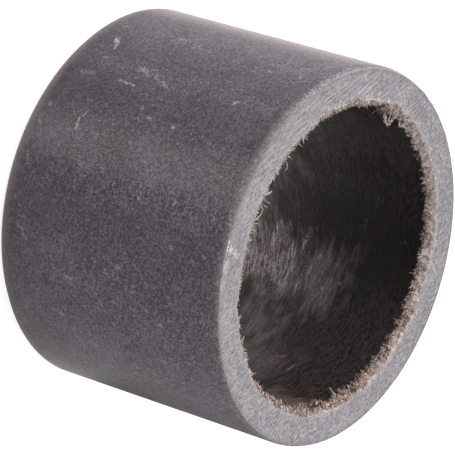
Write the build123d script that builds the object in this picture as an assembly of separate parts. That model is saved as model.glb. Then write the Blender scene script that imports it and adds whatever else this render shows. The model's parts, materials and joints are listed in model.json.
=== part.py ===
from build123d import *
import math
import os
import random

# Plain bushing: one thick-walled tube of fabric-reinforced plastic, cut from
# a wound blank, turned outside, bored through and faced at both ends.
# It stands on its back face. The origin is the centre of that face, +Z runs
# along the bore to the front face, and all sizes are in millimetres.

# The tube
bore_radius = 20.0
wall = 5.0
length = 36.0
outer_radius = bore_radius + wall

# Lead-in that is turned on the back outer edge, for pressing into a housing
lead_in_width = 0.6
lead_in_height = 0.7

# Front outer edge, rubbed down by hand: long on one side and slim opposite
rubbed_edge_width = 0.26
rubbed_edge_height = 0.8
rubbed_edge_run_out = 0.16
rubbed_edge_long_side = 228.0

# The cutter tore the cloth out of both bore edges. A tear has a mean width
# on the face, a mean depth down the bore, and crests that stand proud of it.
front_tear_width = 0.86
front_tear_depth = 1.15
front_tear_roughness = 0.24
front_tear_run_out = 0.12
front_tear_wide_side = 70.0
front_tear_crests = 104
back_tear_width = 0.45
back_tear_depth = 0.6
back_tear_roughness = 0.12
back_tear_run_out = 0.05
back_tear_wide_side = 260.0
back_tear_crests = 72

# Places where a whole yarn pulled out of the front edge: side and half width
pulled_yarns = [
    (27, 2.6),
    (79, 1.8),
    (104, 2.0),
    (138, 2.4),
    (174, 2.0),
    (198, 3.4),
    (218, 3.0),
    (263, 2.0),
    (297, 1.8),
    (338, 3.2),
]
pulled_yarn_bite = 0.3

# Height share of the break in a tear's slope, and its share of the width
tear_knee_height = 0.45
tear_knee_width = 0.62
# Least gap between the foot of a tear and the bore wall, inside the bore
tear_foot_gap = 0.04
# How far a cutting tool runs past the face that it cuts
overrun = 2.0


def on_side(distance, side_degrees):
    """Point at a distance from the axis, on the given side of the tube."""
    angle = math.radians(side_degrees)
    return (distance * math.cos(angle), distance * math.sin(angle))


def turned_tube():
    """The tube's true section, with its lead-in, revolved about the bore."""
    section = Polygon(
        (bore_radius, 0),
        (outer_radius - lead_in_width, 0),
        (outer_radius, lead_in_height),
        (outer_radius, length),
        (bore_radius, length),
        align=None,
    )
    return revolve(Plane.XZ * section, Axis.Z)


def rubbed_edge_tool():
    """Ring whose sloping inside takes the front outer edge off centre."""
    slope = rubbed_edge_width / rubbed_edge_height
    rim = outer_radius - rubbed_edge_width
    low = length - rubbed_edge_height - overrun
    high = length + overrun
    outside = outer_radius + 3 * overrun
    ring = Polygon(
        (rim - slope * overrun, high),
        (rim + slope * (length - low), low),
        (outside, low),
        (outside, high),
        align=None,
    )
    shift_x, shift_y = on_side(-rubbed_edge_run_out, rubbed_edge_long_side)
    return Pos(shift_x, shift_y, 0) * revolve(Plane.XZ * ring, Axis.Z)


def tear_angles(crests, dice):
    """Uneven steps around the bore, two for each crest."""
    turns = 2 * round(crests)
    step = 2 * math.pi / turns
    angles = []
    for turn in range(turns):
        angles.append(step * (turn + dice.uniform(-0.42, 0.42)))
    return angles


def ragged_radii(mean, spread, angles, dice):
    """Radii that jump in and out by turns over a slow wave, mostly a little
    and now and then by the full spread."""
    phases = [dice.uniform(0, 2 * math.pi) for _ in range(3)]
    radii = []
    for turn, angle in enumerate(angles):
        side = 1 if turn % 2 else -1
        jump = side * (0.15 + 0.85 * dice.random() ** 1.7)
        wave = 0
        for lobes, phase in zip((5, 11, 19), phases):
            wave += 0.22 * math.sin(lobes * angle + phase)
        radii.append(mean + spread * (0.7 * jump + wave * 0.45))
    return radii


def bite_of_pulled_yarns(angle):
    """How far a pulled yarn widens the front tear at an angle."""
    bite = 0
    for side, half_width in pulled_yarns:
        off = math.remainder(math.degrees(angle) - side, 360) / half_width
        bite = max(bite, pulled_yarn_bite * (1 - off * off))
    return bite


def ragged_face(radii, angles, run_out, wide_side):
    """Flat face inside a ragged ring that stands off centre by run_out."""
    corners = []
    for radius, angle in zip(radii, angles):
        reach = radius + run_out * math.cos(angle - math.radians(wide_side))
        corners.append((reach * math.cos(angle), reach * math.sin(angle)))
    return make_face(Polyline(*corners, close=True))


def tear_tool(width, depth, roughness, run_out, wide_side, crests, bites, seed):
    """Ragged plug with its face level at z = 0, and its foot in the bore."""
    dice = random.Random(seed)
    angles = tear_angles(crests, dice)
    rim_radii = ragged_radii(bore_radius + width, roughness, angles, dice)
    knee_mean = bore_radius + tear_knee_width * width
    knee_radii = ragged_radii(knee_mean, 0.8 * roughness, angles, dice)
    foot_mean = bore_radius - tear_foot_gap - roughness
    foot_radii = ragged_radii(foot_mean, roughness, angles, dice)
    if bites:
        for turn, angle in enumerate(angles):
            rim_radii[turn] += bite_of_pulled_yarns(angle)
            knee_radii[turn] += bite_of_pulled_yarns(angle)
    rim = ragged_face(rim_radii, angles, run_out, wide_side)
    knee = ragged_face(knee_radii, angles, tear_knee_width * run_out, wide_side)
    foot = ragged_face(foot_radii, angles, 0, wide_side)
    above = ragged_face(rim_radii, angles, run_out, wide_side)
    return loft(
        [
            Pos(0, 0, -depth) * foot,
            Pos(0, 0, -tear_knee_height * depth) * knee,
            rim,
            Pos(0, 0, overrun) * above,
        ],
        ruled=True,
    )


def bushing():
    """The finished piece."""
    front_tear = tear_tool(
        front_tear_width,
        front_tear_depth,
        front_tear_roughness,
        front_tear_run_out,
        front_tear_wide_side,
        front_tear_crests,
        bites=True,
        seed=7,
    )
    back_tear = tear_tool(
        back_tear_width,
        back_tear_depth,
        back_tear_roughness,
        back_tear_run_out,
        -back_tear_wide_side,
        back_tear_crests,
        bites=False,
        seed=19,
    )
    body = turned_tube() - rubbed_edge_tool()
    body -= Pos(0, 0, length) * front_tear
    body -= Rot(180, 0, 0) * back_tear
    return body


os.makedirs("parts", exist_ok=True)
export_step(bushing(), "parts/bushing.step")
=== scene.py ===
import json
import math

import bpy
import numpy as np
from mathutils import Matrix, Vector, noise
from mathutils.bvhtree import BVHTree


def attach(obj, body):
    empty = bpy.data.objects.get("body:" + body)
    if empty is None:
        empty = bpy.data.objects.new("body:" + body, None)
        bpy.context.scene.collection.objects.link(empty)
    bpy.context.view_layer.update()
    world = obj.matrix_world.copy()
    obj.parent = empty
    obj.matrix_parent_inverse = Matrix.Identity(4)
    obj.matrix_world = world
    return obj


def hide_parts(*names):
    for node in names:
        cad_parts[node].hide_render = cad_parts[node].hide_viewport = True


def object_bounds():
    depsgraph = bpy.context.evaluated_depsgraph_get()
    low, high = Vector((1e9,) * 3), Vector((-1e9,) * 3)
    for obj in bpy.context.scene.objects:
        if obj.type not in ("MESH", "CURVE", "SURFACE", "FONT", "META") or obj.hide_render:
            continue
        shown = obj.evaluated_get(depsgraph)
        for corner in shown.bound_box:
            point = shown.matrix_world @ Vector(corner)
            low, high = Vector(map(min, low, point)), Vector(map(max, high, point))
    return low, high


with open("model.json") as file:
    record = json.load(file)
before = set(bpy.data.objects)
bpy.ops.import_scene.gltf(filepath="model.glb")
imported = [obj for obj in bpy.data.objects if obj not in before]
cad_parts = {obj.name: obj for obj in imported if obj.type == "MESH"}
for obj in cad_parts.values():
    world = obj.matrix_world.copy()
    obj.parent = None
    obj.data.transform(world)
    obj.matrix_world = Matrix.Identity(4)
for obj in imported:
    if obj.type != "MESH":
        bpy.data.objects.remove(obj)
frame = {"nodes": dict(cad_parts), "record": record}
cad_low, cad_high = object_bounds()

# The photographer's camera: a long lens, held on its side, that looks down
# on the front end of the bushing from a little under half a metre away.
MM = 0.001
PICTURE_WIDTH_PX = 455
LENS_PX = 3695.5
SENSOR_MM = 36.0
LOOKS_DOWN = math.radians(35.39)
ROLLED = math.radians(107.08)
CAMERA_AWAY = 481.03 * MM
CAMERA_ASIDE = 0.32 * MM
CAMERA_ABOVE = 0.425 * MM

camera_data = bpy.data.cameras.new("photo_camera")
camera_data.sensor_width = SENSOR_MM
camera_data.lens = SENSOR_MM * LENS_PX / PICTURE_WIDTH_PX
camera_data.clip_start = 0.01
camera_data.clip_end = 10.0
camera = bpy.data.objects.new("photo_camera", camera_data)
bpy.context.scene.collection.objects.link(camera)
bpy.context.scene.camera = camera
camera_turn = Matrix.Rotation(math.pi / 2 - LOOKS_DOWN, 4, "X") @ Matrix.Rotation(ROLLED, 4, "Z")
camera_stand = Matrix.Translation((-CAMERA_ASIDE, -CAMERA_ABOVE, CAMERA_AWAY))
camera.matrix_world = Matrix.Translation((cad_low + cad_high) / 2) @ camera_turn @ camera_stand


# The tube: cotton cloth and dark resin, wound, cured and turned to size. The
# outside is turned, the ends are rubbed flat on abrasive, and the bore is cut
# with a tool that tore the cloth out of both edges.
mounts = {mount["name"]: mount for mount in frame["record"]["mounts"]}
BORE_R = mounts["bore"]["dims"]["r_mm"]
OUTER_R = mounts["housing_seat"]["dims"]["r_mm"]
LENGTH = cad_high.z / MM

AROUND = 1200
LEAD_IN_WIDTH = 0.6
LEAD_IN_HEIGHT = 0.7
RUBBED_WIDTH = 0.26
RUBBED_RUN_OUT = 0.16
RUBBED_LONG_SIDE = 228.0
RUBBED_HEIGHT = 0.8
RUBBED_SLOPE = RUBBED_HEIGHT / RUBBED_WIDTH
FRONT_TEAR_DEPTH = 1.3
FRONT_TEAR_RELIEF = 0.2
FRONT_TEAR_SEED = 1.0
BACK_TEAR_DEPTH = 0.7
BACK_TEAR_RELIEF = 0.12
BACK_TEAR_SEED = 31.0
BACK_TEAR_NEARNESS = 0.6

turns = np.arange(AROUND) * (2 * math.pi / AROUND)
cad_mesh = frame["nodes"]["bushing"].data
cad_surface = BVHTree.FromPolygons(
    [v.co / MM for v in cad_mesh.vertices],
    [tuple(p.vertices) for p in cad_mesh.polygons],
)


def wall_radius(turn, height):
    """Radius of the solid's inner wall at an angle and a height, in mm."""
    outward = Vector((math.cos(turn), math.sin(turn), 0))
    hit = cad_surface.ray_cast(Vector((0, 0, height)), outward)
    return Vector(hit[0][:2]).length if hit[0] else BORE_R


def lumps(place, size, seed=0.0):
    """Soft lumps of about this size in mm, from -1 to 1."""
    return noise.noise(Vector((place[0] / size + seed, place[1] / size - seed, place[2] / size + seed)))


def rubbed_width(turn):
    """Width of the rubbed front edge: long on one side, slim opposite."""
    even = RUBBED_WIDTH + RUBBED_RUN_OUT * math.cos(turn - math.radians(RUBBED_LONG_SIDE))
    place = (OUTER_R * math.cos(turn), OUTER_R * math.sin(turn), 0)
    nick = lumps(place, 1.7, seed=4.0)
    chip = lumps(place, 0.4, seed=9.0)
    return max(0.05, even * (1 + 0.2 * nick + 0.07 * chip))


def torn_ring(down, depth, end_height, into, relief, seed):
    """One ring of a torn edge: its radii, heights, and how far each point stands
    proud of the tear, from 0 in a pocket to 1 on a crest."""
    radii, heights, crests = [], [], []
    swell = math.sin(math.pi * min(1.0, 0.12 + down)) ** 0.7
    for turn in turns:
        height = end_height - into * (0.02 + depth * down)
        radius = wall_radius(turn, height)
        place = (radius * math.cos(turn), radius * math.sin(turn), height)
        yarn = lumps(place, 0.55, seed)
        thread = lumps(place, 0.24, seed + 5.0)
        fuzz = lumps(place, 0.11, seed + 11.0)
        stand = 0.5 * yarn + 0.4 * thread + 0.28 * fuzz
        radii.append(radius - relief * swell * stand)
        heights.append(height + into * relief * 0.5 * swell * stand)
        crests.append(0.5 + 0.9 * stand)
    return np.array(radii), np.array(heights), np.clip(crests, 0, 1)


# The section runs up the outside, in over the front face, down the bore and
# out over the back face. Each ring has its radii, heights and zone, and says
# how rubbed, proud and near to a torn lip its points are.
TURNED, RUBBED_FLAT, TORN, BORED = range(4)
rings = []


def add_ring(radii, heights, zone, rub=0.0, crest=0.5, lip=0.0):
    full = np.ones(AROUND)
    rings.append((radii * full, heights * full, zone, rub * full, crest * full, lip * full))


ABOVE_LEAD_IN = 0.08
BELOW_RUBBED_EDGE = 2.2
edge_width = np.array([rubbed_width(t) for t in turns])
edge_height = RUBBED_SLOPE * edge_width
for share in (0.0, 0.03, 0.12, 0.3, 0.5, 0.7, 0.88):
    low = LEAD_IN_HEIGHT + ABOVE_LEAD_IN
    add_ring(OUTER_R, low + (LENGTH - BELOW_RUBBED_EDGE - low) * share, TURNED)
add_ring(OUTER_R, LENGTH - 1.15 * edge_height - 0.12, TURNED)
for share in (0.0, 0.12, 0.28, 0.46, 0.64, 0.8, 0.92, 1.0):
    bulge = 0.18 * math.sin(math.pi * share)
    add_ring(
        OUTER_R - edge_width * (share - bulge),
        LENGTH - edge_height * (1 - share) * (1 - 0.3 * bulge),
        TURNED,
        rub=share,
    )
front_lip, _, _ = torn_ring(0.0, FRONT_TEAR_DEPTH, LENGTH, 1, 0.0, FRONT_TEAR_SEED)
lip_places = [(BORE_R * math.cos(turn), BORE_R * math.sin(turn), 0) for turn in turns]
ragged_lip = np.array([lumps(place, 0.22, seed=2.0) for place in lip_places])
front_lip = front_lip + 0.1 * ragged_lip
face_outer = OUTER_R - edge_width
for share in (0.006, 0.05, 0.2, 0.4, 0.6, 0.78, 0.86, 0.92, 0.965, 1.0):
    nearness = max(0.0, (share - 0.74) / 0.26)
    edge = face_outer + (front_lip + 0.02 - face_outer) * share
    add_ring(edge, LENGTH, RUBBED_FLAT, rub=max(0.0, 1 - share / 0.2), lip=nearness)
TEAR_STEPS = 22
front_tear = []
for step in range(TEAR_STEPS + 1):
    down = step / TEAR_STEPS
    radii, heights, crests = torn_ring(
        down, FRONT_TEAR_DEPTH, LENGTH, 1, FRONT_TEAR_RELIEF, FRONT_TEAR_SEED
    )
    if step == 0:
        radii = front_lip
    front_tear.append((radii, heights))
    add_ring(radii, heights, TORN, crest=crests, lip=1 - down)
bore_top = LENGTH - FRONT_TEAR_DEPTH - 0.1
bore_foot = BACK_TEAR_DEPTH + 0.1
for share in (0.0, 0.04, 0.12, 0.25, 0.4, 0.55, 0.7, 0.85, 0.95, 1.0):
    add_ring(BORE_R, bore_top + (bore_foot - bore_top) * share, BORED)
BACK_TEAR_STEPS = 10
back_tear = []
for step in range(BACK_TEAR_STEPS, -1, -1):
    down = step / BACK_TEAR_STEPS
    radii, heights, crests = torn_ring(
        down, BACK_TEAR_DEPTH, 0.0, -1, BACK_TEAR_RELIEF, BACK_TEAR_SEED
    )
    back_tear.insert(0, (radii, heights))
    add_ring(radii, heights, TORN, crest=crests, lip=BACK_TEAR_NEARNESS * (1 - down))
back_lip = rings[-1][0]
back_outer = OUTER_R - LEAD_IN_WIDTH
for share in (0.02, 0.1, 0.4, 0.7, 0.95, 0.995):
    add_ring(back_lip + (back_outer - back_lip) * share, 0.0, RUBBED_FLAT)
for share in (0.0, 0.08, 0.5, 0.92, 1.0):
    add_ring(back_outer + LEAD_IN_WIDTH * share, LEAD_IN_HEIGHT * share, TURNED, rub=0.25)


def wrap_rings(name, ring_list):
    """A closed mesh whose rings join round the tube and round its section."""
    count = len(ring_list)
    points = np.zeros((count, AROUND, 3))
    for row, (radii, heights, *_) in enumerate(ring_list):
        points[row, :, 0] = radii * np.cos(turns)
        points[row, :, 1] = radii * np.sin(turns)
        points[row, :, 2] = heights
    row, column = np.meshgrid(np.arange(count), np.arange(AROUND), indexing="ij")
    after, beside = (row + 1) % count, (column + 1) % AROUND
    corners = [row * AROUND + column, row * AROUND + beside, after * AROUND + beside, after * AROUND + column]
    faces = np.stack(corners, axis=-1).reshape(-1, 4)
    mesh = bpy.data.meshes.new(name)
    mesh.from_pydata((points * MM).reshape(-1, 3), [], faces)
    mesh.polygons.foreach_set("use_smooth", np.ones(len(faces), bool))
    zones = np.repeat([ring_list[(i + 1) % count][2] for i in range(count)], AROUND)
    mesh.polygons.foreach_set("material_index", zones.astype(np.int32))
    for label, part in (("rub", 3), ("crest", 4), ("lip", 5)):
        layer = mesh.attributes.new(label, "FLOAT", "POINT")
        values = np.array([ring[part] for ring in ring_list])
        layer.data.foreach_set("value", values.ravel().astype(np.float32))
    mesh.update()
    return mesh


tube = bpy.data.objects.new("bushing_tube", wrap_rings("bushing_tube", rings))
bpy.context.scene.collection.objects.link(tube)


def put(tree, kind, feeds=None, **settings):
    """A new shader node, with each input fed by a value or by another output."""
    made = tree.nodes.new("ShaderNode" + kind)
    for name, value in settings.items():
        setattr(made, name, value)
    for socket, source in (feeds or {}).items():
        if isinstance(source, bpy.types.NodeSocket):
            tree.links.new(source, made.inputs[socket])
        else:
            made.inputs[socket].default_value = source
    return made


def sums(tree, operation, first, second=0.0, third=0.0):
    feeds = {0: first, 1: second, 2: third}
    return put(tree, "Math", feeds, operation=operation).outputs[0]


def between(tree, value, low, high, start=0.0, end=1.0):
    """The value's way from low to high, eased and kept from start to end."""
    feeds = {"Value": value, "From Min": low, "From Max": high, "To Min": start, "To Max": end}
    return put(tree, "MapRange", feeds, interpolation_type="SMOOTHSTEP").outputs["Result"]


def paint(tree, share, under, over):
    """The under colour with the over colour on it, as far as the share says."""
    feeds = {0: share, 6: under, 7: over}
    return put(tree, "Mix", feeds, data_type="RGBA").outputs[2]


def stretched(tree, vector, stretch):
    feeds = {0: vector, 1: stretch}
    return put(tree, "VectorMath", feeds, operation="MULTIPLY").outputs[0]


def place_in_mm(tree):
    spot = put(tree, "TexCoord").outputs["Object"]
    return stretched(tree, spot, (1 / MM,) * 3)


def mottle(tree, place, scale, detail, roughness=0.5):
    """Uneven patches from 0 to 1, with about so many of them in each mm."""
    feeds = {"Vector": place, "Scale": scale, "Detail": detail, "Roughness": roughness}
    return put(tree, "TexNoise", feeds).outputs["Fac"]


def toward(tree, place, degrees):
    """How far a place lies toward a side of the tube, in mm."""
    turn = math.radians(degrees)
    feeds = {0: place, 1: (math.cos(turn), math.sin(turn), 0)}
    return put(tree, "VectorMath", feeds, operation="DOT_PRODUCT").outputs["Value"]


def new_group(name, inputs, outputs):
    """A shader node group with named sockets."""
    group = bpy.data.node_groups.new(name, "ShaderNodeTree")
    for label, kind, value in inputs:
        socket = group.interface.new_socket(label, in_out="INPUT", socket_type=kind)
        if value is not None:
            socket.default_value = value
    for label, kind in outputs:
        group.interface.new_socket(label, in_out="OUTPUT", socket_type=kind)
    start = group.nodes.new("NodeGroupInput")
    end = group.nodes.new("NodeGroupOutput")
    return group, start.outputs, end.inputs


VALUE, VECTOR = "NodeSocketFloat", "NodeSocketVector"


def make_yarn_grain():
    """Cut yarn ends in the resin: short light dashes both ways, and dark gaps."""
    group, given, out = new_group(
        "yarn_grain",
        [("Place", VECTOR, None), ("Along", VECTOR, (1, 1, 1)), ("Across", VECTOR, (1, 1, 1))],
        [("Grain", VALUE)],
    )
    values = []
    for label in ("Along", "Across"):
        place = put(group, "VectorMath", {0: given["Place"], 1: given[label]}, operation="MULTIPLY")
        values.append(mottle(group, place.outputs[0], 1.0, 2.5, 0.62))
    both = sums(group, "MAXIMUM", values[0], values[1])
    group.links.new(between(group, both, 0.4, 0.8), out["Grain"])
    return group


def make_streaks():
    """Broken lines from an abrasive or a tool, long one way and fine the other."""
    group, given, out = new_group(
        "streaks",
        [("Place", VECTOR, None), ("Stretch", VECTOR, (1, 1, 1)), ("Low", VALUE, 0.4), ("High", VALUE, 0.7)],
        [("Line", VALUE)],
    )
    place = put(group, "VectorMath", {0: given["Place"], 1: given["Stretch"]}, operation="MULTIPLY")
    value = mottle(group, place.outputs[0], 1.0, 3.0, 0.65)
    group.links.new(between(group, value, given["Low"], given["High"]), out["Line"])
    return group


def make_specks():
    """Scattered light specks: dust, and single fibre ends that stand up."""
    group, given, out = new_group(
        "specks",
        [("Place", VECTOR, None), ("Spacing", VALUE, 1.0), ("Size", VALUE, 0.2), ("Share", VALUE, 0.3)],
        [("Speck", VALUE)],
    )
    scale = sums(group, "DIVIDE", 1.0, given["Spacing"])
    cells = put(group, "TexVoronoi", {"Vector": given["Place"], "Scale": scale})
    near = sums(group, "SUBTRACT", 1.0, between(group, cells.outputs["Distance"], 0.0, given["Size"]))
    chance = put(group, "SeparateColor", {"Color": cells.outputs["Color"]}).outputs[0]
    picked = sums(group, "LESS_THAN", chance, given["Share"])
    strength = put(group, "SeparateColor", {"Color": cells.outputs["Color"]}).outputs[1]
    bright = sums(group, "MULTIPLY", picked, sums(group, "MULTIPLY_ADD", strength, 0.7, 0.3))
    group.links.new(sums(group, "MULTIPLY", near, bright), out["Speck"])
    return group


def make_scuff():
    """One scuff from start to end on the unrolled outside, broken and ragged."""
    group, given, out = new_group(
        "scuff",
        [
            ("Place", VECTOR, None),
            ("Start", VECTOR, None),
            ("End", VECTOR, None),
            ("Half Width", VALUE, 0.2),
            ("Ragged", VALUE, 0.5),
            ("Broken", VALUE, 0.5),
        ],
        [("Mask", VALUE)],
    )
    run = put(group, "VectorMath", {0: given["End"], 1: given["Start"]}, operation="SUBTRACT").outputs[0]
    gone = put(group, "VectorMath", {0: given["Place"], 1: given["Start"]}, operation="SUBTRACT").outputs[0]
    along = put(group, "VectorMath", {0: gone, 1: run}, operation="DOT_PRODUCT").outputs["Value"]
    whole = put(group, "VectorMath", {0: run, 1: run}, operation="DOT_PRODUCT").outputs["Value"]
    share = put(group, "Clamp", {0: sums(group, "DIVIDE", along, whole)}).outputs[0]
    spot = put(group, "VectorMath", {0: run, "Scale": share}, operation="SCALE").outputs[0]
    off = put(group, "VectorMath", {0: gone, 1: spot}, operation="DISTANCE").outputs["Value"]
    taper = sums(group, "MULTIPLY_ADD", share, -0.45, 1.2)
    rim = sums(group, "MULTIPLY", sums(group, "MULTIPLY_ADD", given["Ragged"], 4.2, -1.1), taper)
    rim = sums(group, "MULTIPLY", given["Half Width"], rim)
    mask = sums(group, "SUBTRACT", 1.0, between(group, sums(group, "SUBTRACT", off, rim), -0.14, 0.16))
    mask = sums(group, "MULTIPLY", mask, between(group, given["Broken"], 0.4, 0.58, 0.1, 1.0))
    group.links.new(mask, out["Mask"])
    return group


yarn_grain, streaks, specks, scuff = make_yarn_grain(), make_streaks(), make_specks(), make_scuff()


def use_group(tree, group, feeds):
    made = tree.nodes.new("ShaderNodeGroup")
    made.node_tree = group
    for socket, source in feeds.items():
        if isinstance(source, bpy.types.NodeSocket):
            tree.links.new(source, made.inputs[socket])
        else:
            made.inputs[socket].default_value = source
    return made.outputs[0]


def new_material(name):
    material = bpy.data.materials.new(name)
    material.use_nodes = True
    tree = material.node_tree
    return material, tree, tree.nodes["Principled BSDF"].inputs


def attribute(tree, name):
    return put(tree, "Attribute", attribute_name=name).outputs["Fac"]


def marks(tree, place, radius, rows):
    """Ragged marks on a wall of this radius, unrolled. Each row has a side in
    degrees and a height in mm at both ends, half the width, and strength."""
    parts = put(tree, "SeparateXYZ", {0: place}).outputs
    side = sums(tree, "MULTIPLY", sums(tree, "ARCTAN2", parts[1], parts[0]), radius)
    unrolled = put(tree, "CombineXYZ", {0: side, 1: parts[2]}).outputs[0]
    ragged = mottle(tree, unrolled, 1.5, 4.0)
    broken = mottle(tree, unrolled, 3.4, 3.0)
    marked = 0.0
    for side_1, height_1, side_2, height_2, half_width, strength in rows:
        ends = []
        for degrees, height in ((side_1, height_1), (side_2, height_2)):
            ends.append((math.radians(math.remainder(degrees, 360)) * radius, height, 0))
        feeds = {"Place": unrolled, "Start": ends[0], "End": ends[1], "Half Width": half_width}
        feeds.update({"Ragged": ragged, "Broken": broken})
        mask = sums(tree, "MULTIPLY", use_group(tree, scuff, feeds), strength)
        marked = sums(tree, "MAXIMUM", mask, marked)
    return marked


def raise_from(tree, height, depth_mm):
    """A normal that lifts the surface by up to this depth where height is 1."""
    return put(tree, "Bump", {"Height": height, "Distance": depth_mm * MM, "Strength": 1.0}).outputs["Normal"]


# Painted highlight and painted shade stripes along the outside, paler or darker, as side in
# degrees, half width in mm, strength and colour; and the side, in degrees,
# where resin browned the rubbed edge.
PAINTED_LIGHT_STRIPES = [
    (259, 5.0, 0.17, (0.26, 0.26, 0.24)),
    (241, 4.0, 0.34, (0.02, 0.018, 0.02)),
    (235, 10.0, 0.18, (0.02, 0.018, 0.02)),
    (224, 5.0, 0.2, (0.02, 0.018, 0.02)),
    (251, 3.0, 0.16, (0.02, 0.018, 0.02)),
    (280, 4.5, 0.26, (0.02, 0.017, 0.02)),
    (291, 4.0, 0.1, (0.02, 0.017, 0.02)),
]
BROWNED_SIDE = 246
# Tilts, in radians, of the hairlines that cross the outside
HAIRLINE_TILTS = (0.45, -0.8, 1.35)
# Scuffs on the outside, as side in degrees and height in mm at each end, then
# half the width in mm and how strongly each one shows.
SCUFFS = [
    (222.4, 4.4, 224.4, 5.2, 0.27, 1.0),
    (224.4, 5.1, 226.8, 5.5, 0.13, 0.85),
    (238.1, 12.5, 237.7, 9.6, 0.13, 0.75),
    (256.4, 8.1, 253.2, 7.85, 0.2, 0.85),
    (253.2, 7.85, 250.2, 8.6, 0.13, 0.55),
    (249.7, 5.6, 252.9, 7.1, 0.08, 0.4),
    (257.4, 8.3, 259.6, 9.4, 0.08, 0.25),
    (231.6, 11.8, 232.2, 12.7, 0.3, 0.55),
    (232.7, 12.9, 233.6, 13.5, 0.2, 0.45),
    (231.0, 13.3, 230.4, 14.0, 0.12, 0.35),
    (232.6, 14.5, 234.5, 15.5, 0.2, 0.38),
    (234.7, 16.1, 235.5, 17.0, 0.26, 0.4),
    (226.8, 11.6, 226.6, 12.4, 0.12, 0.4),
    (238.3, 4.0, 237.7, 5.8, 0.3, 0.28),
    (231.2, 5.2, 230.8, 5.8, 0.14, 0.4),
    (251.4, 2.4, 251.8, 2.7, 0.24, 0.5),
    (256.0, 1.9, 257.0, 2.1, 0.16, 0.35),
    (266.9, 2.3, 269.4, 2.6, 0.14, 0.4),
    (285.9, 3.2, 285.6, 4.3, 0.14, 0.42),
    (216.4, 15.0, 213.9, 15.5, 0.14, 0.5),
    (214.0, 11.5, 213.3, 12.6, 0.15, 0.4),
    (216.9, 32.4, 214.2, 31.4, 0.14, 0.35),
    (233.8, 28.0, 234.9, 27.6, 0.16, 0.75),
    (247.1, 17.6, 247.5, 18.1, 0.2, 0.5),
    (244.6, 15.9, 245.0, 16.2, 0.2, 0.32),
    (247.8, 21.7, 247.9, 21.9, 0.13, 0.85),
    (255.7, 16.7, 255.9, 16.9, 0.13, 0.8),
    (270.6, 21.2, 270.8, 21.4, 0.12, 0.6),
    (262.9, 28.1, 263.8, 27.9, 0.14, 0.4),
    (268.6, 26.9, 269.6, 26.6, 0.2, 0.45),
    (276.5, 14.8, 277.0, 15.1, 0.14, 0.35),
    (280.4, 1.9, 281.0, 2.3, 0.13, 0.4),
    (289.6, 3.8, 292.4, 4.8, 0.26, 0.45),
    (288.2, 3.2, 289.4, 3.4, 0.14, 0.4),
    (299.6, 11.2, 300.2, 12.4, 0.16, 0.6),
    (294.2, 18.0, 294.9, 18.4, 0.2, 0.45),
    (291.4, 19.9, 292.3, 20.4, 0.22, 0.5),
    (281.2, 27.9, 282.0, 28.3, 0.2, 0.45),
    (283.2, 31.4, 283.4, 31.7, 0.14, 0.6),
    (281.0, 33.0, 281.3, 33.3, 0.13, 0.55),
    (304.6, 17.0, 305.4, 17.3, 0.14, 0.3),
    (313.0, 9.0, 314.4, 10.2, 0.2, 0.25),
    (321.9, 14.1, 322.6, 14.8, 0.22, 0.4),
    (305.4, 26.8, 306.1, 27.2, 0.16, 0.5),
    (302.2, 24.6, 302.7, 24.9, 0.15, 0.45),
    (40.0, 9.0, 43.5, 12.0, 0.14, 0.45),
    (88.0, 24.0, 92.0, 23.4, 0.16, 0.4),
    (131.0, 6.0, 131.4, 9.4, 0.13, 0.4),
    (352.0, 27.0, 355.5, 29.5, 0.14, 0.35),
]


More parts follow.
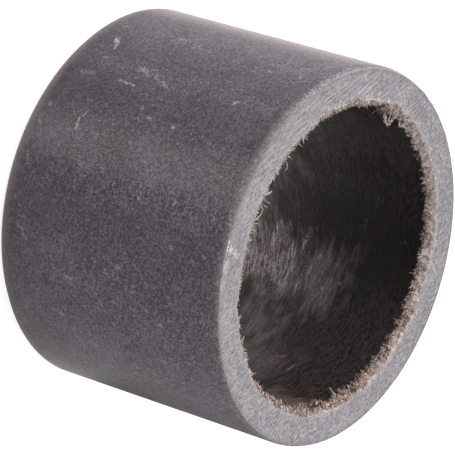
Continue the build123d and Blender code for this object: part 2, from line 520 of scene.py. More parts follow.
def turned_outside():
    """Dark resin with fine grey yarn grain, scuffs and a rubbed front edge, with painted highlight and shade
    stripes and a painted sheen.
    """
    material, tree, shader = new_material("turned_outside")
    place = place_in_mm(tree)
    parts = put(tree, "SeparateXYZ", {0: place}).outputs
    feeds = {"Place": place, "Along": (1.5, 1.5, 6.6), "Across": (5.4, 5.4, 2.7)}
    grain = use_group(tree, yarn_grain, feeds)
    blotch = between(tree, mottle(tree, place, 3.1, 3.0, 0.75), 0.37, 0.65)
    cloud = mottle(tree, place, 0.17, 3.0)
    tone = sums(tree, "MULTIPLY_ADD", blotch, 0.68, sums(tree, "MULTIPLY", grain, 1.16))
    tone = sums(tree, "ADD", tone, -0.315)
    worn_in = between(tree, parts[2], 1.0, 15.0, 0.68, 1.0)
    tone = sums(tree, "MULTIPLY_ADD", sums(tree, "ADD", tone, -0.42), worn_in, 0.42)
    tone = sums(tree, "ADD", tone, sums(tree, "MULTIPLY_ADD", cloud, 0.6, -0.3))
    smudge = mottle(tree, place, 0.6, 2.0)
    tone = sums(tree, "ADD", tone, sums(tree, "MULTIPLY_ADD", smudge, 0.4, -0.22))
    colour = paint(tree, tone, (0.0115, 0.0082, 0.0118, 1), (0.192, 0.162, 0.192, 1))
    dust = use_group(tree, specks, {"Place": place, "Spacing": 0.55, "Size": 0.36, "Share": 0.36})
    colour = paint(tree, sums(tree, "MULTIPLY", dust, worn_in), colour, (0.36, 0.33, 0.36, 1))
    feeds = {"Place": stretched(tree, place, (1, 1, 0.55)), "Spacing": 0.9, "Size": 0.3, "Share": 0.3}
    ends = sums(tree, "MULTIPLY", use_group(tree, specks, feeds), sums(tree, "MULTIPLY", worn_in, 0.5))
    colour = paint(tree, ends, colour, (0.5, 0.47, 0.5, 1))

    side = sums(tree, "MULTIPLY", sums(tree, "ARCTAN2", parts[1], parts[0]), OUTER_R)
    unrolled = put(tree, "CombineXYZ", {0: side, 1: parts[2]}).outputs[0]
    for tilt in HAIRLINE_TILTS:
        feeds = {"Vector": unrolled, "Angle": tilt}
        turned = put(tree, "VectorRotate", feeds, rotation_type="AXIS_ANGLE").outputs[0]
        feeds = {"Place": turned, "Stretch": (0.42, 6.5, 1.0), "Low": 0.6, "High": 0.7}
        hairline = sums(tree, "MULTIPLY", use_group(tree, streaks, feeds), 0.55)
        colour = paint(tree, hairline, colour, (0.3, 0.275, 0.3, 1))
    # Painted highlight and painted shade: stripes along the outside, paler at one side and darker at others.
    for degrees, half_width, strength, tint in PAINTED_LIGHT_STRIPES:
        middle = math.radians(degrees - 360) * OUTER_R
        off = sums(tree, "ABSOLUTE", sums(tree, "SUBTRACT", side, middle))
        share = sums(tree, "MULTIPLY", between(tree, off, half_width, 0.3 * half_width), strength)
        colour = paint(tree, share, colour, (*tint, 1))

    drift = mottle(tree, place, 0.42, 1.0)
    hue = paint(tree, between(tree, drift, 0.42, 0.58), (0.987, 0.941, 0.997, 1), (0.968, 0.965, 0.993, 1))
    feeds = {0: 1.0, 6: colour, 7: hue}
    colour = put(tree, "Mix", feeds, data_type="RGBA", blend_type="MULTIPLY").outputs[2]

    rub = attribute(tree, "rub")
    worn = mottle(tree, place, 3.0, 4.0, 0.65)
    handled = sums(tree, "MAXIMUM", rub, between(tree, parts[2], 34.2, 36.2, 0.0, 0.7))
    rubbed = sums(tree, "ADD", handled, sums(tree, "MULTIPLY_ADD", worn, 1.5, -0.75))
    rubbed = between(tree, rubbed, 0.1, 0.95)
    worn_tone = paint(tree, blotch, (0.115, 0.102, 0.114, 1), (0.34, 0.315, 0.335, 1))
    colour = paint(tree, rubbed, colour, worn_tone)
    lean = toward(tree, place, BROWNED_SIDE)
    spread = between(tree, sums(tree, "ADD", lean, sums(tree, "MULTIPLY_ADD", worn, 3.0, -1.5)), 22.4, 24.6)
    resin = sums(tree, "MULTIPLY", between(tree, rub, 0.02, 0.3), between(tree, worn, 0.66, 0.36))
    resin = sums(tree, "MULTIPLY", resin, sums(tree, "MULTIPLY_ADD", spread, 0.6, 0.15))
    colour = paint(tree, resin, colour, (0.175, 0.125, 0.11, 1))
    nibbled = mottle(tree, place, 1.7, 4.0, 0.7)
    flat_worn = sums(tree, "ADD", rub, sums(tree, "MULTIPLY_ADD", nibbled, 2.4, -1.2))
    flat_worn = between(tree, flat_worn, 0.72, 1.1)
    colour = paint(tree, sums(tree, "MULTIPLY", flat_worn, 0.75), colour, (0.29, 0.265, 0.277, 1))
    colour = paint(tree, sums(tree, "MULTIPLY", dust, rubbed), colour, (0.56, 0.53, 0.56, 1))
    # A brown worn band runs round by the back edge.
    smeared = between(tree, worn, 0.25, 0.6, 0.55, 0.95)
    band = sums(tree, "MULTIPLY", between(tree, parts[2], 2.1, 0.3), smeared)
    colour = paint(tree, band, colour, (0.24, 0.182, 0.175, 1))

    marked = marks(tree, place, OUTER_R, SCUFFS)
    colour = paint(tree, marked, colour, (0.44, 0.42, 0.445, 1))
    # Painted sheen: the colour turns pale at grazing angles, most toward -X and a little near the back end.
    edge_on = put(tree, "LayerWeight", {"Blend": 0.5}).outputs["Facing"]
    sheen_side = sums(
        tree,
        "MAXIMUM",
        between(tree, parts[0], 8.0, -16.0, 0.0, 0.6),
        between(tree, parts[2], 10.0, 3.0, 0.0, 0.3),
    )
    fuzz = sums(tree, "MULTIPLY", between(tree, edge_on, 0.7, 1.0), sheen_side)
    fuzz = sums(tree, "MULTIPLY", fuzz, between(tree, parts[2], 0.3, 1.6, 0.3, 1.0))
    colour = paint(tree, fuzz, colour, (0.5, 0.4, 0.375, 1))
    shader["Specular IOR Level"].default_value = 0.42
    tree.links.new(colour, shader["Base Color"])
    tree.links.new(between(tree, grain, 0.0, 1.0, 0.4, 0.6), shader["Roughness"])
    height = sums(tree, "MULTIPLY_ADD", blotch, 0.5, sums(tree, "MULTIPLY_ADD", marked, 0.5, grain))
    tree.links.new(raise_from(tree, height, 0.025), shader["Normal"])
    return material


# Directions of the abrasive's strokes on the ends, in degrees from +X, with
# the side on which each set is strongest, the strength there, and how often
# a stroke ends, per mm.
STROKES = [
    (151.0, None, 0.72, 1.0),
    (133.0, 218.0, 1.0, 0.25),
    (138.0, 345.0, 0.95, 1.1),
    (165.0, 278.0, 0.8, 0.5),
]
# Places on the front end that a knock left white, as x, y and radius in mm,
# and how strongly.
KNOCKED = [
    (2.2, -24.65, 0.45, 0.85),
    (3.1, -24.6, 0.6, 0.8),
    (3.0, -23.6, 0.6, 0.8),
    (3.2, -22.6, 0.5, 0.65),
    (3.6, -21.8, 0.45, 0.5),
    (5.2, -23.9, 0.9, 0.45),
    (7.6, -23.2, 0.9, 0.3),
]


def rubbed_flat():
    """Pale grey end grain under long straight strokes of the abrasive."""
    material, tree, shader = new_material("rubbed_flat")
    place = place_in_mm(tree)
    strokes, gouges = 0.0, 0.0
    for direction, side, strength, often in STROKES:
        feeds = {"Vector": place, "Angle": -math.radians(direction)}
        turned = put(tree, "VectorRotate", feeds, rotation_type="AXIS_ANGLE").outputs[0]
        here = strength
        if side is not None:
            lean = toward(tree, place, side)
            here = sums(tree, "MULTIPLY", between(tree, lean, 8.0, 20.0), strength)
        feeds = {"Place": turned, "Stretch": (often, 5.4, 1.0), "Low": 0.49, "High": 0.63}
        lines = sums(tree, "MULTIPLY", use_group(tree, streaks, feeds), here)
        strokes = sums(tree, "MAXIMUM", lines, strokes)
        feeds = {"Place": turned, "Stretch": (0.8 * often, 3.4, -1.0), "Low": 0.5, "High": 0.65}
        lines = sums(tree, "MULTIPLY", use_group(tree, streaks, feeds), here)
        gouges = sums(tree, "MAXIMUM", lines, gouges)
    feeds = {"Place": place, "Along": (2.0, 4.6, 1.0), "Across": (4.6, 1.8, 1.0)}
    grain = use_group(tree, yarn_grain, feeds)
    blotch = between(tree, mottle(tree, place, 2.3, 3.0, 0.65), 0.36, 0.66)
    cloud = mottle(tree, place, 0.22, 3.0)
    tone = sums(tree, "MULTIPLY_ADD", blotch, 0.5, sums(tree, "MULTIPLY", grain, 0.7))
    tone = sums(tree, "ADD", tone, sums(tree, "MULTIPLY_ADD", cloud, 0.9, -0.59))
    colour = paint(tree, tone, (0.13, 0.12, 0.134, 1), (0.42, 0.388, 0.408, 1))
    pits = use_group(tree, specks, {"Place": place, "Spacing": 0.7, "Size": 0.34, "Share": 0.4})
    colour = paint(tree, sums(tree, "MULTIPLY", pits, 0.6), colour, (0.12, 0.115, 0.132, 1))
    colour = paint(tree, sums(tree, "MULTIPLY", gouges, 0.6), colour, (0.13, 0.118, 0.132, 1))
    colour = paint(tree, sums(tree, "MULTIPLY", strokes, 0.7), colour, (0.565, 0.535, 0.56, 1))
    lip = attribute(tree, "lip")
    patch = mottle(tree, place, 0.9, 3.0)
    fluff = sums(tree, "ADD", lip, sums(tree, "MULTIPLY_ADD", patch, 2.2, -1.1))
    fluff = sums(tree, "MULTIPLY", between(tree, fluff, 0.35, 1.15), between(tree, lip, 0.0, 0.4))
    wool = mottle(tree, place, 3.6, 3.0, 0.6)
    matted = paint(tree, between(tree, wool, 0.41, 0.56), (0.19, 0.15, 0.142, 1), (0.56, 0.495, 0.485, 1))
    colour = paint(tree, sums(tree, "MULTIPLY", fluff, 0.7), colour, matted)
    brink = sums(tree, "MULTIPLY", between(tree, lip, 0.72, 0.95), between(tree, patch, 0.38, 0.5))
    colour = paint(tree, sums(tree, "MULTIPLY", brink, 0.7), colour, (0.34, 0.295, 0.285, 1))
    nibbled = mottle(tree, place, 1.7, 4.0, 0.7)
    dark = sums(tree, "ADD", attribute(tree, "rub"), sums(tree, "MULTIPLY_ADD", nibbled, 2.4, -1.2))
    dark = between(tree, dark, -0.1, 1.3)
    colour = paint(tree, sums(tree, "MULTIPLY", dark, 0.7), colour, (0.18, 0.155, 0.16, 1))
    for x, y, radius, strength in KNOCKED:
        feeds = {0: stretched(tree, place, (1, 1, 0)), 1: (x, y, 0)}
        away = put(tree, "VectorMath", feeds, operation="DISTANCE").outputs["Value"]
        away = sums(tree, "ADD", away, sums(tree, "MULTIPLY_ADD", wool, 3.4, -1.6))
        white = sums(tree, "MULTIPLY", between(tree, away, radius, 0.5 * radius), strength)
        colour = paint(tree, white, colour, (0.66, 0.65, 0.68, 1))
    tree.links.new(colour, shader["Base Color"])
    tree.links.new(between(tree, strokes, 0.0, 1.0, 0.62, 0.48), shader["Roughness"])
    height = sums(tree, "MULTIPLY_ADD", tone, 0.6, sums(tree, "SUBTRACT", strokes, gouges))
    tree.links.new(raise_from(tree, height, 0.025), shader["Normal"])
    return material


def torn_cloth():
    """Broken cloth in the tear, pale by the lip and brown below, with painted shade in its pockets and deeper
    in, and painted light toward -X and +Y.
    """
    material, tree, shader = new_material("torn_cloth")
    place = place_in_mm(tree)
    crest = attribute(tree, "crest")
    lip = attribute(tree, "lip")
    fine = mottle(tree, place, 4.5, 4.0, 0.7)
    patch = mottle(tree, place, 0.55, 2.0)
    # Painted shade: the tear's pockets are darker and its crests paler.
    lit = sums(tree, "MULTIPLY_ADD", crest, 0.6, sums(tree, "MULTIPLY_ADD", fine, 1.5, -0.75))
    lit = sums(tree, "ADD", lit, sums(tree, "MULTIPLY_ADD", patch, 1.0, -0.5))
    parts = put(tree, "SeparateXYZ", {0: place}).outputs
    # Paler by the lip and darker deeper in, part colour and part painted shade; painted light makes the lip
    # paler toward -X and the tear paler toward +Y.
    lip_light_side = between(tree, parts[0], 17.0, -4.0, 0.52, 1.16)
    lit = sums(tree, "ADD", lit, sums(tree, "MULTIPLY_ADD", lip, lip_light_side, -0.24))
    lit = sums(tree, "ADD", lit, between(tree, parts[1], -8.0, 12.0, -0.06, 0.14))
    colour = paint(tree, between(tree, lit, 0.1, 0.42), (0.03, 0.015, 0.011, 1), (0.15, 0.085, 0.06, 1))
    colour = paint(tree, between(tree, lit, 0.38, 0.7), colour, (0.42, 0.33, 0.295, 1))
    colour = paint(tree, between(tree, lit, 0.62, 0.95), colour, (0.63, 0.56, 0.545, 1))
    tree.links.new(colour, shader["Base Color"])
    shader["Roughness"].default_value = 0.85
    shader["Specular IOR Level"].default_value = 0.25
    tree.links.new(raise_from(tree, fine, 0.08), shader["Normal"])
    return material


# Burnished places in the bore, partly burnish and partly painted reflection:
# side and half width in degrees, height in mm that each one reaches up to, and
# strength.
BURNISHED_AND_PAINTED_LIGHT = [
    (80, 16, 27.0, 0.6),
    (79, 8, 21.5, 1.1),
    (84, 13, 19.0, 1.15),
    (74, 9, 12.0, 0.9),
    (55, 14, 22.0, 0.45),
    (32, 20, 27.0, 0.4),
    (122, 10, 17.0, 0.3),
    (102, 9, 13.0, 0.45),
    (8, 16, 40.0, 0.5),
    (150, 20, 40.0, 0.18),
]
# Sides, in degrees, where the bore is rustiest, and where a band of painted
# shade stands above the burnished places
RUSTED_SIDE = 40
SHADED_SIDE = 99
# Rust-brown stains and pale scratches in the bore, in the same way as the
# scuffs on the outside.
STAINS = [
    (112.4, 15.1, 104.8, 16.3, 0.55, 0.75),
    (93.5, 17.3, 82.9, 17.6, 0.7, 0.9),
    (74.6, 12.7, 70.1, 14.1, 0.6, 0.75),
    (94.9, 11.0, 92.7, 11.1, 0.25, 0.5),
    (51.2, 23.4, 43.8, 22.4, 1.5, 0.6),
    (56.0, 26.4, 52.8, 27.4, 0.4, 0.7),
    (30.6, 24.8, 24.2, 24.2, 0.8, 0.55),
]
SCRATCHES = [
    (36.0, 25.3, 40.7, 25.4, 0.1, 0.6),
    (41.8, 22.3, 43.6, 23.1, 0.1, 0.6),
    (83.0, 15.6, 79.5, 16.0, 0.14, 0.8),
    (118.0, 27.2, 113.5, 27.0, 0.12, 0.18),
    (89.7, 11.5, 89.0, 11.7, 0.2, 1.0),
    (80.7, 24.1, 80.3, 24.3, 0.16, 0.8),
    (76.7, 21.7, 76.4, 21.8, 0.14, 0.7),
    (88.5, 19.6, 88.2, 19.7, 0.14, 0.7),
    (107.5, 25.6, 103.5, 25.4, 0.12, 0.13),
    (97.0, 21.0, 92.5, 20.8, 0.1, 0.35),
]


def bored_wall():
    """Dark bore with the tool's fine rings and rust-brown stains, paler deeper in
    by painted light, with a painted shade band on one side, and pale streaks
    where a shaft or the boring chips burnished it, partly painted reflection."""
    material, tree, shader = new_material("bored_wall")
    place = place_in_mm(tree)
    parts = put(tree, "SeparateXYZ", {0: place}).outputs
    # Painted light: the wall grows paler deeper in, toward the back end.
    lit_deeper_in = between(tree, parts[2], 31.0, 7.0)
    side = sums(tree, "ARCTAN2", parts[1], parts[0])
    drift = sums(tree, "MULTIPLY", parts[0], between(tree, parts[2], 25.0, 8.0, 0.0, -0.34))
    level = sums(tree, "ADD", parts[2], drift)
    tracked = put(tree, "CombineXYZ", {0: parts[0], 1: parts[1], 2: level}).outputs[0]
    feeds = {"Place": tracked, "Stretch": (0.95, 0.95, 4.2), "Low": 0.48, "High": 0.61}
    rings_cut = use_group(tree, streaks, feeds)
    feeds = {"Place": tracked, "Stretch": (1.7, 1.7, -7.5), "Low": 0.48, "High": 0.6}
    threads = use_group(tree, streaks, feeds)
    feeds = {"Place": tracked, "Stretch": (0.42, 0.42, 4.9), "Low": 0.43, "High": 0.6}
    drawn = use_group(tree, streaks, feeds)
    grit = between(tree, mottle(tree, place, 4.2, 3.0, 0.7), 0.38, 0.62, 0.35, 1.0)
    patch = mottle(tree, stretched(tree, tracked, (0.3, 0.3, 0.8)), 1.0, 4.0, 0.6)
    # Painted shade: a dark band on one side, above the burnished places.
    off = sums(tree, "ABSOLUTE", sums(tree, "SUBTRACT", side, math.radians(SHADED_SIDE)))
    shade = sums(tree, "MULTIPLY", between(tree, off, 0.45, 0.12), between(tree, parts[2], 12.0, 19.0))
    lit = sums(tree, "MULTIPLY_ADD", shade, -0.85, 1.0)
    colour = paint(tree, lit_deeper_in, (0.0056, 0.0034, 0.0037, 1), (0.0285, 0.0222, 0.0222, 1))
    colour = paint(tree, sums(tree, "MULTIPLY", shade, 0.6), colour, (0.0036, 0.0022, 0.0024, 1))
    lines = sums(tree, "MULTIPLY", rings_cut, sums(tree, "MULTIPLY_ADD", lit_deeper_in, 0.5, 0.42))
    lines = sums(tree, "MULTIPLY", lines, lit)
    colour = paint(tree, lines, colour, (0.083, 0.069, 0.0695, 1))
    lines = sums(tree, "MULTIPLY", threads, sums(tree, "MULTIPLY_ADD", lit_deeper_in, 0.3, 0.32))
    lines = sums(tree, "MULTIPLY", lines, lit)
    colour = paint(tree, lines, colour, (0.091, 0.075, 0.0755, 1))

    swell = sums(tree, "ADD", patch, -0.5)
    height = sums(tree, "MULTIPLY_ADD", swell, 14.0, parts[2])
    pale = 0.0
    # Pale streaks: partly burnish, partly painted reflection.
    for degrees, half_width, top, strength in BURNISHED_AND_PAINTED_LIGHT:
        off = sums(tree, "ABSOLUTE", sums(tree, "SUBTRACT", side, math.radians(degrees)))
        off = sums(tree, "MULTIPLY_ADD", swell, math.radians(40), off)
        near = between(tree, off, math.radians(1.15 * half_width), math.radians(0.2 * half_width))
        here = sums(tree, "MULTIPLY", near, between(tree, height, top, top - 6.0))
        pale = sums(tree, "MAXIMUM", sums(tree, "MULTIPLY", here, strength), pale)
    both = sums(tree, "MAXIMUM", drawn, sums(tree, "MULTIPLY", threads, 0.8))
    both = sums(tree, "MULTIPLY", both, grit)
    drawn_out = between(tree, pale, 0.4, 0.9, 0.5, 1.0)
    even = sums(tree, "MULTIPLY", sums(tree, "SUBTRACT", 1.0, drawn_out), 0.38)
    veil = sums(tree, "MULTIPLY_ADD", both, drawn_out, even)
    gaps = sums(tree, "MULTIPLY", pale, sums(tree, "SUBTRACT", 0.7, sums(tree, "MULTIPLY", veil, 0.7)))
    colour = paint(tree, gaps, colour, (0.034, 0.017, 0.014, 1))
    colour = paint(tree, sums(tree, "MULTIPLY", pale, veil), colour, (0.49, 0.398, 0.396, 1))
    feeds = {"Place": tracked, "Stretch": (0.15, 0.15, 0.42), "Low": 0.5, "High": 0.66}
    rust = use_group(tree, streaks, feeds)
    lean = toward(tree, place, RUSTED_SIDE)
    rust = sums(tree, "MULTIPLY", rust, between(tree, lean, 4.0, 18.0, 0.35, 0.65))
    stained = marks(tree, place, BORE_R, STAINS)
    rust = sums(tree, "MAXIMUM", rust, stained)
    colour = paint(tree, rust, colour, (0.047, 0.0175, 0.0155, 1))
    scratched = marks(tree, place, BORE_R, SCRATCHES)
    dust = use_group(tree, specks, {"Place": place, "Spacing": 1.5, "Size": 0.13, "Share": 0.2})
    dust = sums(tree, "MAXIMUM", sums(tree, "MULTIPLY", dust, 0.5), scratched)
    colour = paint(tree, dust, colour, (0.4, 0.37, 0.365, 1))
    tree.links.new(colour, shader["Base Color"])
    tree.links.new(between(tree, both, 0.0, 1.0, 0.42, 0.6), shader["Roughness"])
    shader["Specular IOR Level"].default_value = 0.12
    polish = sums(tree, "MULTIPLY", pale, sums(tree, "MULTIPLY_ADD", both, 0.8, 0.2))
    polish = sums(tree, "MULTIPLY", polish, sums(tree, "SUBTRACT", 1.0, rust))
    tree.links.new(polish, shader["Coat Weight"])
    shader["Coat Roughness"].default_value = 0.28
    relief = sums(tree, "MULTIPLY_ADD", threads, 0.5, rings_cut)
    tree.links.new(raise_from(tree, relief, 0.03), shader["Normal"])
    return material


for make in (turned_outside, rubbed_flat, torn_cloth, bored_wall):
    tube.data.materials.append(make())
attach(tube, "root")
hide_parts("bushing")


# The lint: cotton that the cutter pulled out of the front edge. It is rooted
# in the cloth and stands in small clumps all round the tear, combed down into
# the bore on one side and matted like wool on the other.
LINT_REACH = 0.62
# Sides where the strands lie combed, where they lie along the lip or hang in
# over the bore, where the lint is brown (or paler, if below 0), partly its own
# colour and partly painted shade and painted light for that side, and where it is
# missing, as side and half width in degrees and how strongly.
COMBED = [(10, 42, 1.0), (312, 30, 0.8), (350, 25, 0.5)]
ALONG_LIP = [(270, 70, 1.0), (115, 40, 0.4)]
HANGING = [(182, 7, 0.6), (198, 14, 1.0), (226, 18, 0.9), (260, 12, 0.3), (322, 20, 0.25)]
BROWN_AND_PAINTED_LIGHT = [
    (115, 70, -0.14),
    (155, 26, -0.24),
    (205, 20, -0.02),
    (236, 14, 0.02),
    (300, 15, 0.38),
    (163, 13, -0.2),
    (183, 5, -0.3),
    (22, 38, 0.24),
    (66, 14, 0.1),
    (350, 12, 0.05),
    (198, 5, 0.2),
    (219, 7, 0.3),
    (137, 3, 0.5),
    (262, 3, 0.35),
    (296, 3, 0.5),
    (318, 8, 0.2),
    (337, 8, 0.1),
    (25, 4, 0.3),
    (75, 4, 0.25),
    (103, 4, 0.3),
    (123, 3, 0.3),
]
BALD = [(25.5, 3.0, 0.7), (137, 2.6, 0.9), (103, 2.5, 0.7), (296.5, 1.6, 0.8), (262, 1.6, 0.6)]


def unit(ways):
    return ways / np.linalg.norm(ways, axis=-1, keepdims=True)


def near_sides(turn, places):
    """How much these angles lie near the places, each a soft bump."""
    total = np.zeros_like(turn)
    for side, half_width, amount in places:
        off = (np.degrees(turn) - side + 180) % 360 - 180
        total += amount * np.exp(-((off / half_width) ** 2))
    return total


def at_tear(tear, turn, down):
    """Points of a tear at these angles and shares of its depth, in mm."""
    table = np.array(tear)
    row = np.round(np.clip(down, 0, 1) * (len(tear) - 1)).astype(int)
    column = np.round(turn / turns[1]).astype(int) % AROUND
    radius, height = table[row, 0, column], table[row, 1, column]
    return np.stack([radius * np.cos(turn), radius * np.sin(turn), height], axis=-1)


def ways_at(turn, out_way):
    """Directions into the bore, round it, and out of the end, at these angles."""
    inward = np.stack([-np.cos(turn), -np.sin(turn), 0 * turn], axis=-1)
    onward = np.stack([-np.sin(turn), np.cos(turn), 0 * turn], axis=-1)
    return inward, onward, np.array([[0, 0, out_way]]) + 0 * inward


def bent(start, first, second, tip, steps=5):
    """Bezier paths of so many steps, one for each row of the four points."""
    share = np.linspace(0, 1, steps)[None, :, None]
    start, first, second, tip = [end[:, None, :] for end in (start, first, second, tip)]
    path = (1 - share) ** 3 * start + 3 * share * (1 - share) ** 2 * first
    return path + 3 * share**2 * (1 - share) * second + share**3 * tip


def strand_mesh(name, path, thickness, pale, taper=(1.0, 0.97, 0.86, 0.68, 0.34)):
    """Closed three-sided strands, one on each path, thinned by the taper. Each
    keeps how pale it is and how far along it every point lies."""
    count, steps, _ = path.shape
    along = unit(np.gradient(path, axis=1) + 1e-9)
    across = unit(np.cross(along, np.array([0.31, 0.52, 0.79])))
    third = np.cross(along, across)
    reach = (thickness[:, None] * np.array(taper)[None, :] / 2)[:, :, None]
    sides = [0, 2 * math.pi / 3, 4 * math.pi / 3]
    corners = [path + reach * (math.cos(a) * across + math.sin(a) * third) for a in sides]
    points = np.stack(corners, axis=2).reshape(-1, 3)
    base = np.arange(count)[:, None] * steps * 3
    faces = []
    for step in range(steps - 1):
        for side in range(3):
            low, high = step * 3 + side, step * 3 + (side + 1) % 3
            faces.append(base + np.array([[low, high, high + 3, low + 3]]))
    quads = np.concatenate(faces)
    root_caps = base + np.array([[2, 1, 0]])
    tip_caps = base + np.array([[0, 1, 2]]) + (steps - 1) * 3
    mesh = bpy.data.meshes.new(name)
    mesh.from_pydata(points * MM, [], quads.tolist() + root_caps.tolist() + tip_caps.tolist())
    mesh.polygons.foreach_set("use_smooth", np.ones(len(mesh.polygons), bool))
    share = np.repeat(np.linspace(0, 1, steps), 3)
    tones = {"pale": np.repeat(pale, steps * 3), "along": np.tile(share, count)}
    for label, values in tones.items():
        layer = mesh.attributes.new(label, "FLOAT", "POINT")
        layer.data.foreach_set("value", values.astype(np.float32))
    mesh.update()
    return mesh


def grow_lint(name, tear, clumps, out_way, reach, paleness, seed):
    """Clumps of lint all round a tear, as one mesh of separate strands, with
    holes where the wool is missing."""
    dice = np.random.default_rng(seed)
    middle = dice.uniform(0, 2 * math.pi, clumps)
    kept = dice.random(clumps) > near_sides(middle, BALD)
    own = np.repeat(np.arange(clumps), dice.integers(5, 14, clumps) * kept)
    at_lip = dice.random(clumps) < 0.26
    depth = np.where(at_lip, 0.0, dice.uniform(0.03, 1, clumps) ** 0.9)
    spread = np.radians(dice.uniform(0.15, 0.6, clumps))[own]
    turn = (middle[own] + dice.normal(0, 1, len(own)) * spread) % (2 * math.pi)
    down = np.clip(depth[own] + np.abs(dice.normal(0, 0.06, len(own))), 0, 1)
    spots = at_tear(tear, turn, down)
    wool = [lumps(spot, 0.6, seed) + 0.7 * lumps(spot, 0.28, seed + 3.0) for spot in spots]
    stays = np.array(wool) > np.where(down < 0.12, -0.5, -0.16)
    own, turn, down = own[stays], turn[stays], down[stays]
    total = len(own)
    combed = np.clip(near_sides(middle, COMBED) + dice.normal(0, 0.25, clumps), 0, 1)[own][:, None]
    lean = dice.normal(0, 0.55, clumps)[own][:, None]
    inward, onward, outward = ways_at(turn, out_way)
    slope = 0.6 * inward - 0.8 * outward
    stand = 0.8 * inward + 0.6 * outward
    wild = unit(dice.normal(0, 1, (total, 3)))
    matted = stand * dice.uniform(0.3, 1.1, (total, 1)) + 0.8 * wild + onward * lean
    laid = slope + stand * dice.uniform(0.1, 0.45, (total, 1)) + onward * (0.5 * lean) + 0.25 * wild
    way = combed * laid + (1 - combed) * matted
    hung = (dice.random(clumps) < near_sides(middle, HANGING))[own] & (down < 0.4)
    over_lip = at_lip[own] & (dice.random(total) < 0.85) & ~hung
    level = np.clip(near_sides(turn, ALONG_LIP), 0, 1)[:, None]
    aslant = dice.normal(0, 0.7, (total, 1))
    flat = (0.65 * level - 0.8) * inward + 0.1 * outward + onward * (aslant + level * np.sign(aslant))
    way = np.where(over_lip[:, None], flat, way)
    tangled = 0.7 * inward + 0.1 * outward + 0.5 * wild + onward * (0.5 * lean + np.sign(aslant))
    way = unit(np.where(hung[:, None], tangled, way))
    curl = dice.uniform(0.2, 1.3, (total, 1)) * (1.15 - combed)
    aside = unit(np.cross(way, wild))
    aside = np.where(over_lip[:, None], aside * np.array([[1, 1, 0.15]]), aside)
    length = reach * (0.3 + 0.7 * dice.random((total, 1)) ** 1.8) * (1 + 0.25 * combed)
    length = length * np.where(over_lip, 0.9, np.where(hung, 1.55, 1.0))[:, None]
    laid_out = 0.6 * dice.random((total, 1)) ** 1.6 * over_lip[:, None]
    start = at_tear(tear, turn, down) - 0.05 * stand - laid_out * inward
    first = start + 0.35 * length * way
    second = first + 0.35 * length * (way + curl * aside)
    tip = second + 0.35 * length * (way * (1 - 0.6 * curl) + 1.3 * curl * aside)
    thickness = dice.uniform(0.08, 0.17, total) * (1 - 0.3 * combed[:, 0])
    pale = paleness + dice.normal(0, 0.2, clumps)[own] + dice.normal(0, 0.2, total)
    # Painted shade: lint rooted deeper in the tear is darker; the sides' table adds brown, painted shade and
    # painted light.
    pale = pale - near_sides(turn, BROWN_AND_PAINTED_LIGHT) - 0.75 * (down - 0.22) - 0.2 * over_lip - 0.15 * hung
    pale = np.clip(pale, 0, 1.1)
    return strand_mesh(name, bent(start, first, second, tip), thickness, pale)


def lint_cotton():
    """Raw cotton: pale pinkish white, tan where resin wets it, dark at its root."""
    material, tree, shader = new_material("lint_cotton")
    pale = attribute(tree, "pale")
    along = attribute(tree, "along")
    place = place_in_mm(tree)
    # Random patches make the lint paler in some places and darker in others.
    tone_patches = mottle(tree, place, 2.1, 2.5)
    tone = sums(tree, "ADD", pale, sums(tree, "MULTIPLY_ADD", tone_patches, 1.5, -0.75))
    colour = paint(tree, between(tree, tone, 0.0, 0.45), (0.12, 0.066, 0.046, 1), (0.43, 0.33, 0.295, 1))
    colour = paint(tree, between(tree, tone, 0.35, 1.0), colour, (0.785, 0.685, 0.672, 1))
    root = sums(tree, "SUBTRACT", 1.0, between(tree, along, 0.0, 0.4))
    colour = paint(tree, sums(tree, "MULTIPLY", root, 0.12), colour, (0.14, 0.085, 0.062, 1))
    tree.links.new(colour, shader["Base Color"])
    shader["Roughness"].default_value = 0.9
    shader["Specular IOR Level"].default_value = 0.2
    return material


cotton = lint_cotton()
front_lint_mesh = grow_lint(
    "front_lint", front_tear, clumps=1100, out_way=1, reach=LINT_REACH, paleness=0.92, seed=11
)
front_lint = bpy.data.objects.new("front_lint", front_lint_mesh)
bpy.context.scene.collection.objects.link(front_lint)
front_lint.data.materials.append(cotton)
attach(front_lint, "root")


